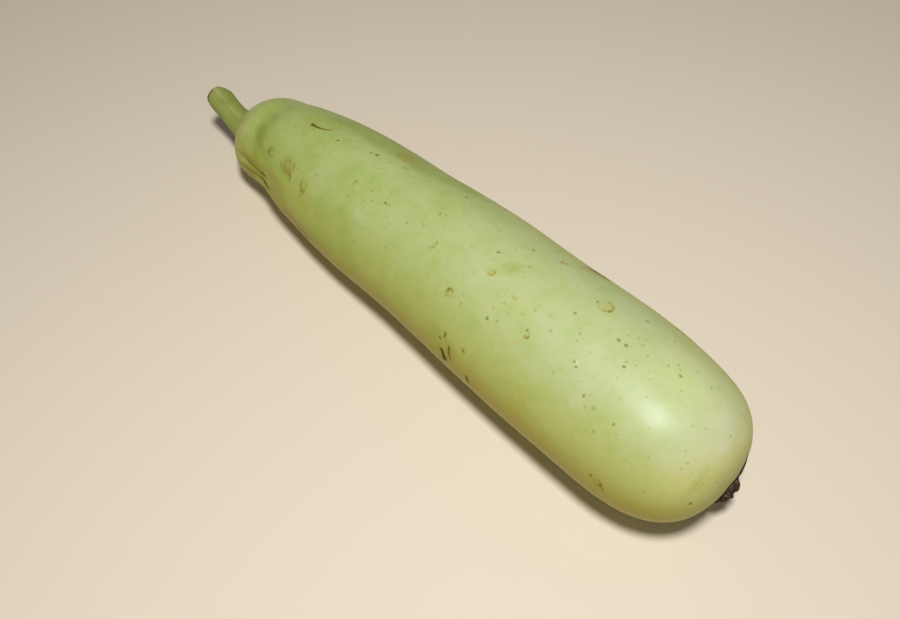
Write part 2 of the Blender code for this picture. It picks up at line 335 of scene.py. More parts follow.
class Finish:
    """A material, and the nodes that work out its look."""

    def __init__(self, name, roughness):
        self.material = bpy.data.materials.new(name)
        self.material.use_nodes = True
        self.tree = self.material.node_tree
        self.shader = self.tree.nodes["Principled BSDF"]
        self.shader.inputs["Roughness"].default_value = roughness
        self.place = self.node("TexCoord", output="Object")

    def node(self, kind, settings=None, sockets=None, output=0):
        made = self.tree.nodes.new("ShaderNode" + kind)
        for name, value in (settings or {}).items():
            setattr(made, name, value)
        for name, value in (sockets or {}).items():
            wire_in(made.inputs[name], value)
        return Wire(self, made.outputs[output])

    def layer(self, name):
        return self.node("Attribute", {"attribute_name": name}, output="Fac")

    def grown(self, wire, low, high):
        """0 up to low, 1 from high on, smooth between, and the other way where low is the larger."""
        span = {"Value": wire, "From Min": low, "From Max": high}
        return self.node("MapRange", {"interpolation_type": "SMOOTHSTEP"}, span)

    def mask(self, wire, low, high, strength):
        return self.grown(wire, low, high) * strength

    def mixed(self, mask, first, second, blend="MIX"):
        colours = {"Factor": mask, MIX_FIRST: first, MIX_SECOND: second}
        return self.node("Mix", {"data_type": "RGBA", "blend_type": blend}, colours, output=MIX_RESULT)

    def tinted(self, mask, colour, tint):
        return self.mixed(mask, colour, tint, "MULTIPLY")

    def axis(self, name):
        return self.node("SeparateXYZ", {}, {0: self.place}, output=name)

    def far_from(self, point):
        """How far the surface is from a point, in millimetres."""
        ends = {0: self.place, 1: point}
        return self.node("VectorMath", {"operation": "DISTANCE"}, ends, output="Value") * (1 / MM)

    def sized(self, size, stretch, shift):
        """Coordinates that give a pattern's features a size in millimetres, stretched along X."""
        across = 1 / (size * MM)
        scale = Vector((across / stretch, across, across))
        sockets = {"Vector": self.place, "Scale": scale, "Location": (shift, shift, shift)}
        return self.node("Mapping", {}, sockets)

    def noise(self, size, stretch=1.0, detail=2.0, rough=0.5, shift=0.0):
        place = self.sized(size, stretch, shift)
        sockets = {"Vector": place, "Scale": 1.0, "Detail": detail, "Roughness": rough}
        return self.node("TexNoise", {}, sockets)

    def specks(self, spacing, radius, share, shift):
        """Small soft dots of many sizes, in a share of the cells of a pattern."""
        sockets = {"Vector": self.sized(spacing, 1.0, shift), "Scale": 1.0}
        distance = self.node("TexVoronoi", {}, sockets, output="Distance")
        cell = Wire(self, distance.socket.node.outputs["Color"])
        luck = self.node("SeparateColor", {}, {"Color": cell}, output="Red")
        size = self.grown(luck, 1 - share, SPECK_LUCK)
        return self.grown(size * (radius / spacing) - distance, 0.0, SPECK_EDGE * radius / spacing)

    def set(self, socket, value):
        wire_in(self.shader.inputs[socket], value)

    def bump(self, height, distance):
        self.set("Normal", self.node("Bump", {}, {"Height": height, "Distance": distance * MM}))

    def paint(self, piece):
        piece.data.materials.clear()
        piece.data.materials.append(self.material)


# The skin's colours.
LIP_GREEN = (0.60, 0.63, 0.265)
NECK_GREEN = (0.46, 0.535, 0.178)
MIDDLE_GREEN = (0.475, 0.545, 0.236)
BELLY_GREEN = (0.52, 0.585, 0.305)
# The flower end's pale colour: partly its own, partly painted light on its upper side.
END_PALE_AND_LIT = (0.715, 0.715, 0.49)
# Painted shade and warm reflected light: olive where the skin turns down.
UNDERSIDE_OLIVE_SHADE = (0.44, 0.355, 0.03)
GROUND_PALE = (0.50, 0.50, 0.20)
CORK = (0.43, 0.38, 0.09)
HEAVY_CORK = (0.26, 0.215, 0.02)
# The scars' dark, also painted into the creases' slits as shade.
DARK_SCAR_AND_SLIT_SHADE = (0.10, 0.065, 0.0)
BRUISE = (0.33, 0.28, 0.02)
SPOT_GREEN = (0.155, 0.195, 0.005)
SPOT_BROWN = (0.16, 0.15, 0.005)
SPOT_TAN = (0.42, 0.32, 0.06)
SCAB_OLIVE = (0.25, 0.21, 0.06)
RUST_BROWN = (0.25, 0.135, 0.01)
PALE_RIM = (0.74, 0.78, 0.60)
# The creases' olive: partly the creased skin's own colour, partly painted shade in the folds.
CREASE_OLIVE_AND_SHADE = (0.12, 0.095, 0.004)
FOLD_OLIVE_AND_SHADE = (0.28, 0.26, 0.02)
# The groove's darker green: partly its own colour, partly painted shade in the hollow.
GROOVE_GREEN_AND_SHADE = (0.30, 0.36, 0.055)
FLOWER_STAIN = (0.40, 0.29, 0.09)
FLOWER_RIM = (0.26, 0.12, 0.02)

# What the patches on the skin multiply its colour by.
GRASS_TINT = (0.80, 0.90, 0.55)
# Greener patches, and painted shade in a long patch on the far upper side.
GREENER_AND_SHADE_TINT = (0.80, 0.86, 0.62)
YELLOW_TINT = (1.02, 0.97, 0.78)
WAX_TINT = (1.05, 1.05, 1.16)
SHADE_TINT = (0.86, 0.90, 0.74)
SPECK_TINT = (0.56, 0.62, 0.32)
# Painted shade: less blue where the skin turns away from the light.
FLANK_SHADE_TINT = (0.935, 0.91, 0.52)
# Painted shade: yellower and darker along the far edge.
FAR_EDGE_SHADE_TINT = (1.0, 0.93, 0.62)
CALLUS_TINT = (0.99, 0.95, 0.84)
# Painted highlight: a brighter tint that widens the highlight's glow on the shoulder.
GLOW_TINT = (1.16, 1.13, 1.12)

# The soft shine of the wax.
ROUGHNESS = 0.43
ROUGHNESS_SPREAD = 0.12
SCAR_ROUGHNESS = 0.25
SHINE = 0.15
SHINE_TINT = (0.3, 0.6, 1.0)
COAT_ROUGHNESS = 0.45
COAT_WEIGHT = 0.82
COAT_LOST_FAR = 0.8
PORE_HEIGHT = 0.035

# Where a colour begins and where it is full, as a share of the way along the fruit.
NECK_ALONG = (0.02, 0.085)
MIDDLE_ALONG = (0.12, 0.42)
BELLY_ALONG = (0.42, 0.85)
PALE_ALONG = (0.91, 1.0)
FRECKLED_ALONG = (0.55, 0.15)
OLIVE_ALONG = (0.01, 0.06)
LESS_OLIVE_ALONG = (0.94, 1.0)
NECK_SIDE_START = (0.14, 0.25)
NECK_SIDE_END = (0.58, 0.45)

# The same for how far the skin faces up, from -1 to 1, and for how far it faces the far side.
PALE_AND_LIT_UP = (-0.15, 0.75)
FLANK_UP = (0.9, 0.4)
OLIVE_UP = (0.48, -0.15)
GROUND_UP = (-0.2, -0.75)
COAT_UP = (0.0, 0.75)
EDGE_FAR = (0.4, 0.95)

# How much a pattern shifts the edges of those, and how much lower the painted olive shade of the underside
# begins beside the neck.
SIDE_WANDER = 0.2
NECK_SIDE_SHIFT = 0.12
OLIVE_STRENGTH = 0.85
LESS_OLIVE = 0.3
GROUND_STRENGTH = 0.7

# The cloudy patches: size, shift, begins, full, strength, what it loses towards the flower end, tint.
CLOUDS = (
    (17, 0.0, 0.40, 0.70, 0.75, 0.6, GRASS_TINT),
    (22, 20.0, 0.42, 0.78, 0.6, 0.0, YELLOW_TINT),
    (8, 30.0, 0.42, 0.72, 0.6, 0.35, GRASS_TINT),
    (3, 40.0, 0.46, 0.76, 0.45, 0.15, GRASS_TINT),
    (1.6, 50.0, 0.48, 0.7, 0.35, 0.1, YELLOW_TINT),
    (0.9, 60.0, 0.50, 0.72, 0.4, 0.2, SHADE_TINT),
)
CLOUD_STRETCH = 1.15

# The waxy clouds: where they begin, where they are full, strength.
WAX_CLOUDS = (0.42, 0.76, 0.6)
WAX_PATCHES = (0.48, 0.74, 0.4)

# The freckles under the wax: spacing, radius, share of the cells that hold one, shift.
SEED_FRECKLES = (3.2, 0.7, 0.7, 0.0)
NECK_FRECKLES = (1.7, 0.55, 0.9, 5.0)
FINE_FRECKLES = (1.25, 0.4, 0.9, 9.0)
NECK_STRENGTH = 0.8
FINE_STRENGTH = 0.85

# Where they crowd together, and their strength where they are sparse with what crowding adds to it.
CROWDED = (0.38, 0.62)
SEEDS_SPARSE = 0.25
SEEDS_CROWDED = 0.4
NECK_SPARSE = 0.3
NECK_CROWDED = 0.7

# The stain round the dried flower: where it begins and is full, in millimetres, and its strength.
STAIN = (13.0, 6.5, 0.55)
STAIN_RIM = (9.0, 6.8, 0.7)
STAIN_WANDER = 4

# The wide layers: how ragged their edge is, where they begin, where they are full, strength.
SCABS = (1.6, -0.6, 0.5, 0.7)
GROOVES = (5, -1.6, 2.6, 0.8)
GREENER_AND_SHADED_PATCHES = (5, -1.6, 2.6, 1.0)
SHOULDER = (8, -5.0, 15.0, 1.0)
SPECKLED = (10, -4.0, 4.0, 1.0)
CALLUSES = (0.7, -0.4, 0.5, 1.0)

# The narrow marks: where a scar's dullness begins and is full, and how ragged their edge is.
SCAR_EDGE = (-0.2, 0.2)
MARK_RAGGEDNESS = 0.7

# The marks' paints, one over the last: layer, where it begins, where it is full, strength, colour.
MARK_PAINTS = (
    ("bruise", -2.0, 1.8, 0.45, BRUISE),
    # The creases: partly their own olive, partly painted shade in the folds.
    ("crease", -1.4, 0.1, 0.4, FOLD_OLIVE_AND_SHADE),
    ("crease", -0.2, 0.4, 0.8, CREASE_OLIVE_AND_SHADE),
    ("pale", -0.4, 0.4, 0.5, PALE_RIM),
    ("tan", -0.5, 0.4, 0.75, SPOT_TAN),
    ("rust", -0.5, 0.4, 0.85, RUST_BROWN),
    ("cork", -0.4, 0.3, 0.85, CORK),
    ("cork", 0.05, 0.4, 0.85, HEAVY_CORK),
    ("faint", -0.5, 0.4, 0.38, SPOT_GREEN),
    ("mild", -0.5, 0.4, 0.62, SPOT_GREEN),
    ("green", -0.5, 0.35, 0.85, SPOT_GREEN),
    ("green", 0.35, 1.0, 0.8, SPOT_BROWN),
    ("dark", -1.1, 0.1, 0.5, BRUISE),
    # The scars' dark, and painted shade in the creases' slits.
    ("dark", -0.4, 0.35, 0.95, DARK_SCAR_AND_SLIT_SHADE),
)


class GourdSkin(Finish):
    """The skin's material. Its patterns are shared by the steps that lay one colour over another."""

    def __init__(self):
        super().__init__("gourd_skin", ROUGHNESS)
        self.along = (self.axis("X") - fruit_low.x) * (1 / (fruit_high.x - fruit_low.x))
        self.wax = self.noise(size=12, stretch=1.2, detail=4, rough=0.6, shift=3.0)
        self.patches = self.noise(size=5, stretch=CLOUD_STRETCH, detail=4, rough=0.65, shift=7.0)
        self.crust = self.noise(size=0.8, detail=3, rough=0.7, shift=9.0)
        self.soft = self.noise(size=1.1, detail=3, rough=0.65, shift=5.0)
        self.pores = self.noise(size=1.3, detail=3, rough=0.6, shift=2.0)
        wander = (self.wax - 0.5) * SIDE_WANDER
        self.up = self.layer("turned") + wander
        self.away = self.grown(self.layer("far_side") + wander, *EDGE_FAR)

    def ragged(self, layer, pattern, raggedness, low, high, strength):
        """A layer's mask, with its edge moved in and out by a pattern."""
        return self.mask(self.layer(layer) + (pattern - 0.5) * raggedness, low, high, strength)

    def ground_colour(self):
        """A pale lip, a green neck, a paler belly and a pale flower end, paler only where it faces up:
        partly its own colour and partly painted light.
        """
        colour = self.mixed(self.grown(self.along, *NECK_ALONG), LIP_GREEN, NECK_GREEN)
        colour = self.mixed(self.grown(self.along, *MIDDLE_ALONG), colour, MIDDLE_GREEN)
        colour = self.mixed(self.grown(self.along, *BELLY_ALONG), colour, BELLY_GREEN)
        # Painted light: the end is pale only where it faces up.
        pale = self.grown(self.along, *PALE_ALONG) * self.grown(self.layer("turned"), *PALE_AND_LIT_UP)
        return self.mixed(pale, colour, END_PALE_AND_LIT)

    def clouded(self, colour):
        for size, shift, low, high, strength, lost, tint in CLOUDS:
            cloud = self.noise(size, stretch=CLOUD_STRETCH, detail=4, rough=0.6, shift=shift)
            colour = self.tinted(self.mask(cloud, low, high, strength - lost * self.along), colour, tint)
        colour = self.tinted(self.mask(self.wax, *WAX_CLOUDS), colour, WAX_TINT)
        return self.tinted(self.mask(self.patches, *WAX_PATCHES), colour, WAX_TINT)

    def freckled(self, colour):
        crowded = self.grown(self.noise(size=14, shift=11.0), *CROWDED)
        seeds = self.specks(*SEED_FRECKLES) * (SEEDS_SPARSE + SEEDS_CROWDED * crowded)
        colour = self.tinted(seeds, colour, SPECK_TINT)
        neck = self.grown(self.along, *FRECKLED_ALONG) * (NECK_SPARSE + NECK_CROWDED * crowded)
        colour = self.tinted(self.specks(*NECK_FRECKLES) * neck * NECK_STRENGTH, colour, SPECK_TINT)
        speckled = self.ragged("speckled", self.patches, *SPECKLED)
        return self.tinted(self.specks(*FINE_FRECKLES) * speckled * FINE_STRENGTH, colour, SPECK_TINT)

    def patched(self, colour):
        colour = self.mixed(self.ragged("scab", self.crust, *SCABS), colour, SCAB_OLIVE)
        # Darker green in the neck's groove, partly painted shade in the hollow.
        colour = self.mixed(self.ragged("groove", self.patches, *GROOVES), colour, GROOVE_GREEN_AND_SHADE)
        # Greener patches, and painted shade on the far upper side.
        colour = self.tinted(self.ragged("greener_and_shaded", self.patches, *GREENER_AND_SHADED_PATCHES), colour, GREENER_AND_SHADE_TINT)
        # Painted highlight: the glow round the highlight on the shoulder.
        return self.tinted(self.ragged("painted_glow", self.patches, *SHOULDER), colour, GLOW_TINT)

    def sided(self, colour):
        """Painted shade: less blue flanks, an olive underside of painted shade and warm reflected light
        that begins lower beside the neck, and a yellower far edge; and a pale ground side.
        """
        colour = self.tinted(self.grown(self.up, *FLANK_UP), colour, FLANK_SHADE_TINT)
        colour = self.tinted(self.away, colour, FAR_EDGE_SHADE_TINT)
        neck_side = self.grown(self.along, *NECK_SIDE_START) * self.grown(self.along, *NECK_SIDE_END)
        less = self.mask(self.along, *LESS_OLIVE_ALONG, LESS_OLIVE)
        between_ends = self.grown(self.along, *OLIVE_ALONG) * (1 - less)
        # Painted shade and warm reflected light: olive where the skin turns down.
        painted_underside_shade = self.grown(self.up + neck_side * NECK_SIDE_SHIFT, *OLIVE_UP) * between_ends
        colour = self.mixed(painted_underside_shade * OLIVE_STRENGTH, colour, UNDERSIDE_OLIVE_SHADE)
        return self.mixed(self.mask(self.up, *GROUND_UP, GROUND_STRENGTH), colour, GROUND_PALE)

    def stained(self, colour):
        from_flower = self.far_from(flower_middle) + (self.patches - 0.5) * STAIN_WANDER
        colour = self.mixed(self.mask(from_flower, *STAIN), colour, FLOWER_STAIN)
        return self.mixed(self.mask(from_flower, *STAIN_RIM), colour, FLOWER_RIM)

    def marked(self, colour):
        colour = self.tinted(self.ragged("callus", self.soft, *CALLUSES), colour, CALLUS_TINT)
        for name, low, high, strength, paint in MARK_PAINTS:
            mask = self.ragged(name, self.soft, MARK_RAGGEDNESS, low, high, strength)
            colour = self.mixed(mask, colour, paint)
        return colour

    def coat(self):
        """A soft shine where the skin faces up, dull where it is scarred."""
        self.set("Specular IOR Level", SHINE)
        self.set("Specular Tint", SHINE_TINT)
        scars = self.ragged("cork", self.soft, MARK_RAGGEDNESS, *SCAR_EDGE, 1.0)
        scars += self.grown(self.layer("dark"), *SCAR_EDGE)
        self.set("Roughness", ROUGHNESS + (self.soft - 0.5) * ROUGHNESS_SPREAD + scars * SCAR_ROUGHNESS)
        self.set("Coat Roughness", COAT_ROUGHNESS)
        coated = self.grown(self.up, *COAT_UP) * (1 - self.away * COAT_LOST_FAR)
        self.set("Coat Weight", coated * COAT_WEIGHT)
        self.bump(self.pores, PORE_HEIGHT)


def skin_finish():
    skin = GourdSkin()
    colour = skin.freckled(skin.clouded(skin.ground_colour()))
    colour = skin.stained(skin.sided(skin.patched(colour)))
    skin.set("Base Color", skin.marked(colour))
    skin.coat()
    return skin


# Ring scars: layer, along, around, length, width, turn, line width, turn of the heavy side.
RING_SCARS = (
    ("cork", 192.5, -15, 5.6, 5.3, 68, 1, 0),
    ("cork", 154.2, 14.8, 3.1, 2.8, 14, 0.9, 30),
    ("scab", 146.8, 43.6, 2.7, 2.6, 45, 0.9, -135),
    ("cork", 168, 19, 1.6, 1.5, 0, 0.6, 90),
    ("cork", 180, 33.3, 2.2, 1.8, 64, 1.1, 48),
    ("cork", 191, 68, 2.8, 2.5, 0, 0.35, 90),
    ("rust", 227, 83.8, 3.2, 2.8, 10, 0.9, 20),
    ("scab", 38, 46, 4.2, 2.8, 36, 1.1, 170),
    ("scab", 63.8, 51.3, 4.2, 3.5, 59, 1.3, 100),
)

# Spots: layer, along, around, length, width, turn.
SPOTS = (
    ("tan", 168.5, -27, 2.4, 2, 70),
    ("tan", 163, -4.8, 1.8, 1.2, -25),
    ("tan", 174, -35.5, 1.8, 1.5, 70),
    ("tan", 249, -35, 1.8, 0.8, 20),
    ("tan", 64, 60.9, 1.8, 1.4, 20),
    ("scab", 46.8, 48.6, 1.6, 1.4, 0),
    ("rust", 53.7, 51.9, 1, 0.8, 30),
    ("pale", 199.8, 27.9, 1.4, 1.2, 0),
    ("rust", 224.1, 82.2, 1.4, 1.2, 60),
    ("green", 229.6, 87.7, 1.2, 0.7, 60),
    ("rust", 253.6, 71.2, 1.2, 0.9, 20),
    ("green", 121.6, -25.9, 1.4, 0.9, 0),
    ("green", 35.8, 47, 1.3, 1, 40),
)

# Small round marks: along, around and width.
STRONG_DOTS = (
    (84.5, 21, 1), (158, -19, 0.9), (187.5, 3.5, 0.9), (206, -27.5, 1), (205, 0.5, 1.2),
    (212.5, 12.5, 1), (208.5, 41, 0.9), (222, 43, 0.8), (164.5, 41, 1.1), (150.5, 0.5, 1.2),
    (101.5, 21, 1.1), (227.5, -7, 0.9), (208, 0.5, 1.2), (200.5, 30.5, 0.8), (170, -28.5, 0.9),
    (189.5, -14, 0.9), (145.5, 42, 1), (179, 31, 0.9), (44.5, -2.5, 1.3), (199, 28.5, 0.8),
    (61.5, -1, 1.1), (80.5, -10, 1.5), (77.8, -8.5, 0.8),
)
MILD_DOTS = (
    (87, -11, 0.9), (93, 19.5, 0.8), (86, 34, 0.9), (122, 2.5, 1.2), (114.5, 23.5, 1.3),
    (119.5, 16.5, 0.9), (121, 18, 0.8), (143, -15, 0.9), (93, 29.5, 0.8), (96.5, 25.5, 0.9),
    (103.5, 20.5, 1), (130, 22, 1.2), (130, 25.5, 1.1), (129, 27.5, 0.8), (153, 44.5, 0.9),
    (168, 38.5, 1), (176.5, 18, 0.9), (163, -34, 1), (185.5, 22.5, 0.9), (194, 12.5, 1),
    (209, -9.5, 0.8), (215.5, -3, 0.8), (212, 9, 0.9), (222.5, -7, 0.9), (224.5, -13, 0.8),
    (213.5, 43, 1.2), (218, 54, 0.9), (236.5, -18.5, 0.9), (250.5, -6.5, 0.8), (195.5, 41.5, 0.8),
    (217.5, -28, 1),
)
FAINT_DOTS = (
    (64.5, -9.5, 1), (70.5, -5.5, 0.9), (86.5, 1, 0.9), (66.5, 36.5, 1.5), (52, 22, 0.9),
    (62, 35.5, 0.9), (80.5, 20, 0.8), (100.5, 12.5, 0.9), (84, 24.5, 0.9), (124, 0.5, 0.9),
    (123.5, 11, 0.9), (134, -4, 0.9), (128.5, -22.5, 0.9), (128, -9.5, 0.9), (106, 28.5, 1.1),
    (113.5, 47, 1.1), (138, 27, 0.9), (141, 9, 1.1), (154, -10, 0.9), (156, 5.5, 1.1), (149, 23, 0.9),
    (142, 50, 0.9), (151.5, 38.5, 0.9), (164, 33.5, 0.9), (174, 25, 0.9), (170, 30, 0.9),
    (186, -25.5, 0.9), (180, -15.5, 0.9), (182, 14.5, 0.9), (195, 17.5, 0.9), (211.5, -12, 0.9),
    (213.5, -26, 0.9), (206, -6.5, 0.9), (213.5, 21, 0.9), (224.5, 18.5, 0.9), (226, -11, 0.8),
    (230, -20.5, 0.9), (205.5, 78.5, 1), (241, 69, 1), (246, 41, 0.9), (229.5, 87.5, 0.9),
)
TAN_DOTS = (
    (76.5, 20, 0.8), (62.5, 25, 0.7), (99.5, 61, 1.5), (141, 46, 0.7), (166, 26.5, 1.3),
    (164.5, 4.5, 0.7), (194.5, 4, 0.7), (201, 18, 0.7), (210, 38, 0.8), (218.5, 28.5, 0.7),
    (200.5, 69, 0.8), (236.5, 46, 1.1), (235, 60, 0.8), (246.5, 35, 0.9), (253.5, 71, 1.5),
    (255.5, 39, 0.7), (256.5, 62, 0.7), (170, 58, 0.7), (198.5, -38, 0.9), (211, 46, 0.9),
)
DOTS = (("green", STRONG_DOTS), ("mild", MILD_DOTS), ("faint", FAINT_DOTS), ("tan", TAN_DOTS))

# Dark strokes: places, start width, end width.
STROKES = (
    (((44.5, -2.5), (46.8, -2.4)), 1.3, 0.9),
    (((46.8, -2.4), (49.2, -3), (51.6, -4.5), (53.6, -7.4)), 0.8, 0.3),
    (((152.6, 85.1), (153.5, 88.7), (154.2, 94.7)), 1.4, 1.3),
    (((153.3, 84.9), (154, 88), (155.2, 91.2)), 0.7, 1.6),
    (((156.1, 77.4), (156.5, 81.2), (156.8, 84.4), (158.2, 89.2)), 0.9, 0.35),
    (((152.7, 69.2), (152.9, 72.5)), 0.7, 0.5),
    (((150.8, 75.8), (151.1, 76.2)), 0.7, 0.6),
    (((161.9, 70.1), (162.7, 71)), 0.4, 0.4),
    (((166.3, 90.5), (167, 95.7)), 1.1, 0.8),
    (((64, 96.8), (68, 96), (72.3, 97.5)), 0.8, 0.4),
    (((212, -51), (215, -52.8), (219, -54)), 0.7, 0.3),
)

# Scars that are pointed at both ends: places, width.
POINTED_SCARS = ((((172, -43.6), (176, -46.4), (178.5, -47.6), (184.5, -51)), 2.1),)

# Rough lines, tan or olive: layer, places, start width, end width.
ROUGH_LINES = (
    ("scab", ((47.9, 43.4), (48.5, 45)), 0.7, 0.5),
    ("scab", ((49, 49.1), (50.9, 49.9)), 1.1, 0.8),
    ("scab", ((47.4, 50.5), (49.6, 52.8), (51.5, 51.9), (53.4, 50)), 0.4, 0.7),
    ("scab", ((53.2, 41.6), (54.4, 43.4), (54.5, 45.5)), 0.9, 0.7),
    ("scab", ((53.7, 51.7), (54.8, 54), (55.2, 56)), 1.4, 0.9),
    ("scab", ((50.9, 49.9), (52.2, 48.6), (52.6, 46)), 0.3, 0.2),
    ("tan", ((88, -32), (91.5, -28), (95.7, -28.5), (98.5, -30.5)), 0.8, 0.6),
    ("tan", ((84.5, -24), (87.5, -23), (90.1, -20.1)), 0.7, 0.5),
    ("tan", ((76.5, -40), (80, -41), (83.5, -41.5)), 1.4, 0.8),
)

# Crumbs of scab: along, around, width.
SCAB_DOTS = ((50, 41.4, 1.2), (51.4, 41.9, 0.7), (45.4, 47.3, 0.8), (56.3, 42.7, 0.7), (93.7, -15, 1))

# Creases of the neck, painted darker, partly as shade in the folds: places, width, depth.
CREASES = (
    (((15, 70.5), (18.9, 74.6), (25.2, 76.6), (32.1, 77.5), (37.7, 76.1), (43, 73.5)), 0.8, 0.4),
    (((25.5, 80), (29, 84.5), (32.5, 88), (37.6, 90.3), (45, 89.5)), 0.8, 0.4),
    (((19, 84), (22, 89.5), (27.5, 94.5)), 0.5, 0.3),
    (((21, 97), (27, 101.5), (34, 103.5), (42, 102)), 0.6, 0.35),
    (((17, 108), (23, 113.5), (30, 115.5), (38, 113)), 0.5, 0.35),
)

# Dark slits in the creases, painted with the scars' dark as shade in the slits: places, start width, end
# width.
DARK_SLITS = ((((33.5, 77), (37.2, 76.2)), 0.9, 0.5), (((35, 90), (39.5, 90.2)), 0.5, 0.35))

# The swollen skin between the creases: places, width, height.
FOLD_RIDGES = (
    (((24, 81), (31, 82), (38, 80.5), (44, 79)), 3, 0.28),
    (((22, 69), (30, 71), (38, 69.5)), 3.5, 0.25),
    (((24, 93), (31, 97), (40, 97)), 3, 0.25),
    (((21, 104), (29, 109), (39, 108)), 3, 0.25),
)

# Gentle swells and dips: along, around, width, height.
SWELLS = ((231.5, 24, 20, 0.22), (214, 19, 14, -0.06))

# Wide soft patches: layer, along, around, length, width, turn.
PATCHES = (
    ("groove", 25, 41, 17, 8, 59),
    ("groove", 25.5, 46, 9, 5, 59),
    ("groove", 21.5, 25, 4, 3, 60),
    ("groove", 23.5, 11, 9, 4.5, 8),
    ("greener_and_shaded", 32, 83, 16, 5, 0),
    ("greener_and_shaded", 159, 4, 9, 6, -40),
    # Painted shade: a long greener, darker patch on the far upper side.
    ("greener_and_shaded", 84, -40, 80, 22, 0),
    ("bruise", 28, 73, 22, 3.5, 8),
    ("bruise", 47, 70, 14, 6, 0),
    ("bruise", 157, 79, 7, 5, 60),
    ("bruise", 62, 92, 14, 4, 0),
    ("speckled", 57, 14, 30, 18, 15),
    ("speckled", 84, 30, 34, 14, 10),
    ("bruise", 50.5, 46.5, 8, 6, 40),
    ("bruise", 89, -30, 12, 7, -5),
    ("bruise", 177, -41, 7, 3, -10),
    ("greener_and_shaded", 252, 48, 4, 13, 0),
)

# A painted highlight glow on the shoulder of the belly: along, around, width.
GLOW_ON_SHOULDER = (230, -12, 30)

# The seed of the marks' dice, and how uneven their outlines are.
MARK_SEED = 7
RING_WAVER = 0.13
SPOT_WAVER = 0.2
SCAB_WAVER = 0.25
PATCH_WAVER = 0.1

# How high the marks stand or how deep they lie, and how wide two kinds fade, in millimetres.
RING_RISE = 0.1
SPOT_RISE = -0.03
DOT_RISE = -0.02
STROKE_RISE = -0.12
BARE_STROKE_RISE = -0.1
ROUGH_RISE = 0.05
SLIT_RISE = -0.2
CREASE_EDGE = 0.7
RIDGE_EDGE = 1.6

# How round a dot and a crumb of scab are: the lesser width as a share of the greater.
DOT_ROUNDNESS = (0.7, 1.0)
SCAB_ROUNDNESS = 0.75

# The width that a pointed line has at its ends, less than nothing so that it fades out.
POINTED = -0.5

# What grows on the sides that those marks leave bare. A pair is the least and the most of a measure.
BARE_SIDES = (100, 300)
BARE_RINGS = 9
BARE_RING_ALONG = (30, 240)
BARE_RING_SIZES = (2.0, 5.5)
BARE_RING_LINES = (0.45, 0.6)
BARE_RING_ROUNDNESS = 0.85
BARE_SPOTS = 12
BARE_SPOT_ALONG = (20, 250)
BARE_SPOT_SIZES = (1.0, 2.2)
BARE_SPOT_ROUNDNESS = 0.7
BARE_STROKES = 9
BARE_STROKE_ALONG = (40, 235)
BARE_STROKE_STEP = (1, 3)
BARE_STROKE_BEND = (-4, 4)
BARE_STROKE_END_BEND = (-5, 5)
BARE_STROKE_WIDTHS = (0.6, 1.2)
BARE_FRECKLES = 26
BARE_FRECKLE_SIZES = (0.8, 1.2)
BARE_FRECKLE_ROUNDNESS = 0.8


def draw_marks(skin):
    """All the marks. The same dice each time, so that a second drawing falls where the first one did."""
    dice = np.random.default_rng(MARK_SEED)
    for layer, along, around, length, width, turn, line, heavy_side in RING_SCARS:
        outline = waver(dice, RING_WAVER)
        skin.ring(layer, along, around, length, width, turn, line, heavy_side, outline)
    for layer, along, around, length, width, turn in SPOTS:
        skin.spot(layer, along, around, length, width, turn, waver(dice, SPOT_WAVER), SPOT_RISE)
    for layer, dots in DOTS:
        for along, around, width in dots:
            narrow = width * dice.uniform(*DOT_ROUNDNESS)
            turn = any_turn(dice)
            skin.spot(layer, along, around, width, narrow, turn, waver(dice, SPOT_WAVER), DOT_RISE)
    for places, start_width, end_width in STROKES:
        skin.stroke("dark", places, start_width, end_width, STROKE_RISE)
    for places, width in POINTED_SCARS:
        skin.stroke("dark", places, POINTED, width, STROKE_RISE, pointed=True)
    for layer, places, start_width, end_width in ROUGH_LINES:
        skin.stroke(layer, places, start_width, end_width, ROUGH_RISE)
    for along, around, width in SCAB_DOTS:
        turn = any_turn(dice)
        narrow = width * SCAB_ROUNDNESS
        skin.spot("scab", along, around, width, narrow, turn, waver(dice, SCAB_WAVER), ROUGH_RISE)
    for places, width, depth in CREASES:
        skin.stroke("crease", places, POINTED, width, -depth, CREASE_EDGE, pointed=True)
    for places, start_width, end_width in DARK_SLITS:
        skin.stroke("dark", places, start_width, end_width, SLIT_RISE)
    for places, width, height in FOLD_RIDGES:
        skin.stroke(None, places, width, width, height, RIDGE_EDGE)
    for along, around, width, height in SWELLS:
        skin.spot(None, along, around, width, width, rise=height, edge=FAR)
    for layer, along, around, length, width, turn in PATCHES:
        skin.spot(layer, along, around, length, width, turn, waver(dice, PATCH_WAVER))
    along, around, width = GLOW_ON_SHOULDER
    skin.spot("painted_glow", along, around, width, width)
    draw_bare_sides(skin, dice)


def any_turn(dice):
    return dice.uniform(0, 180)


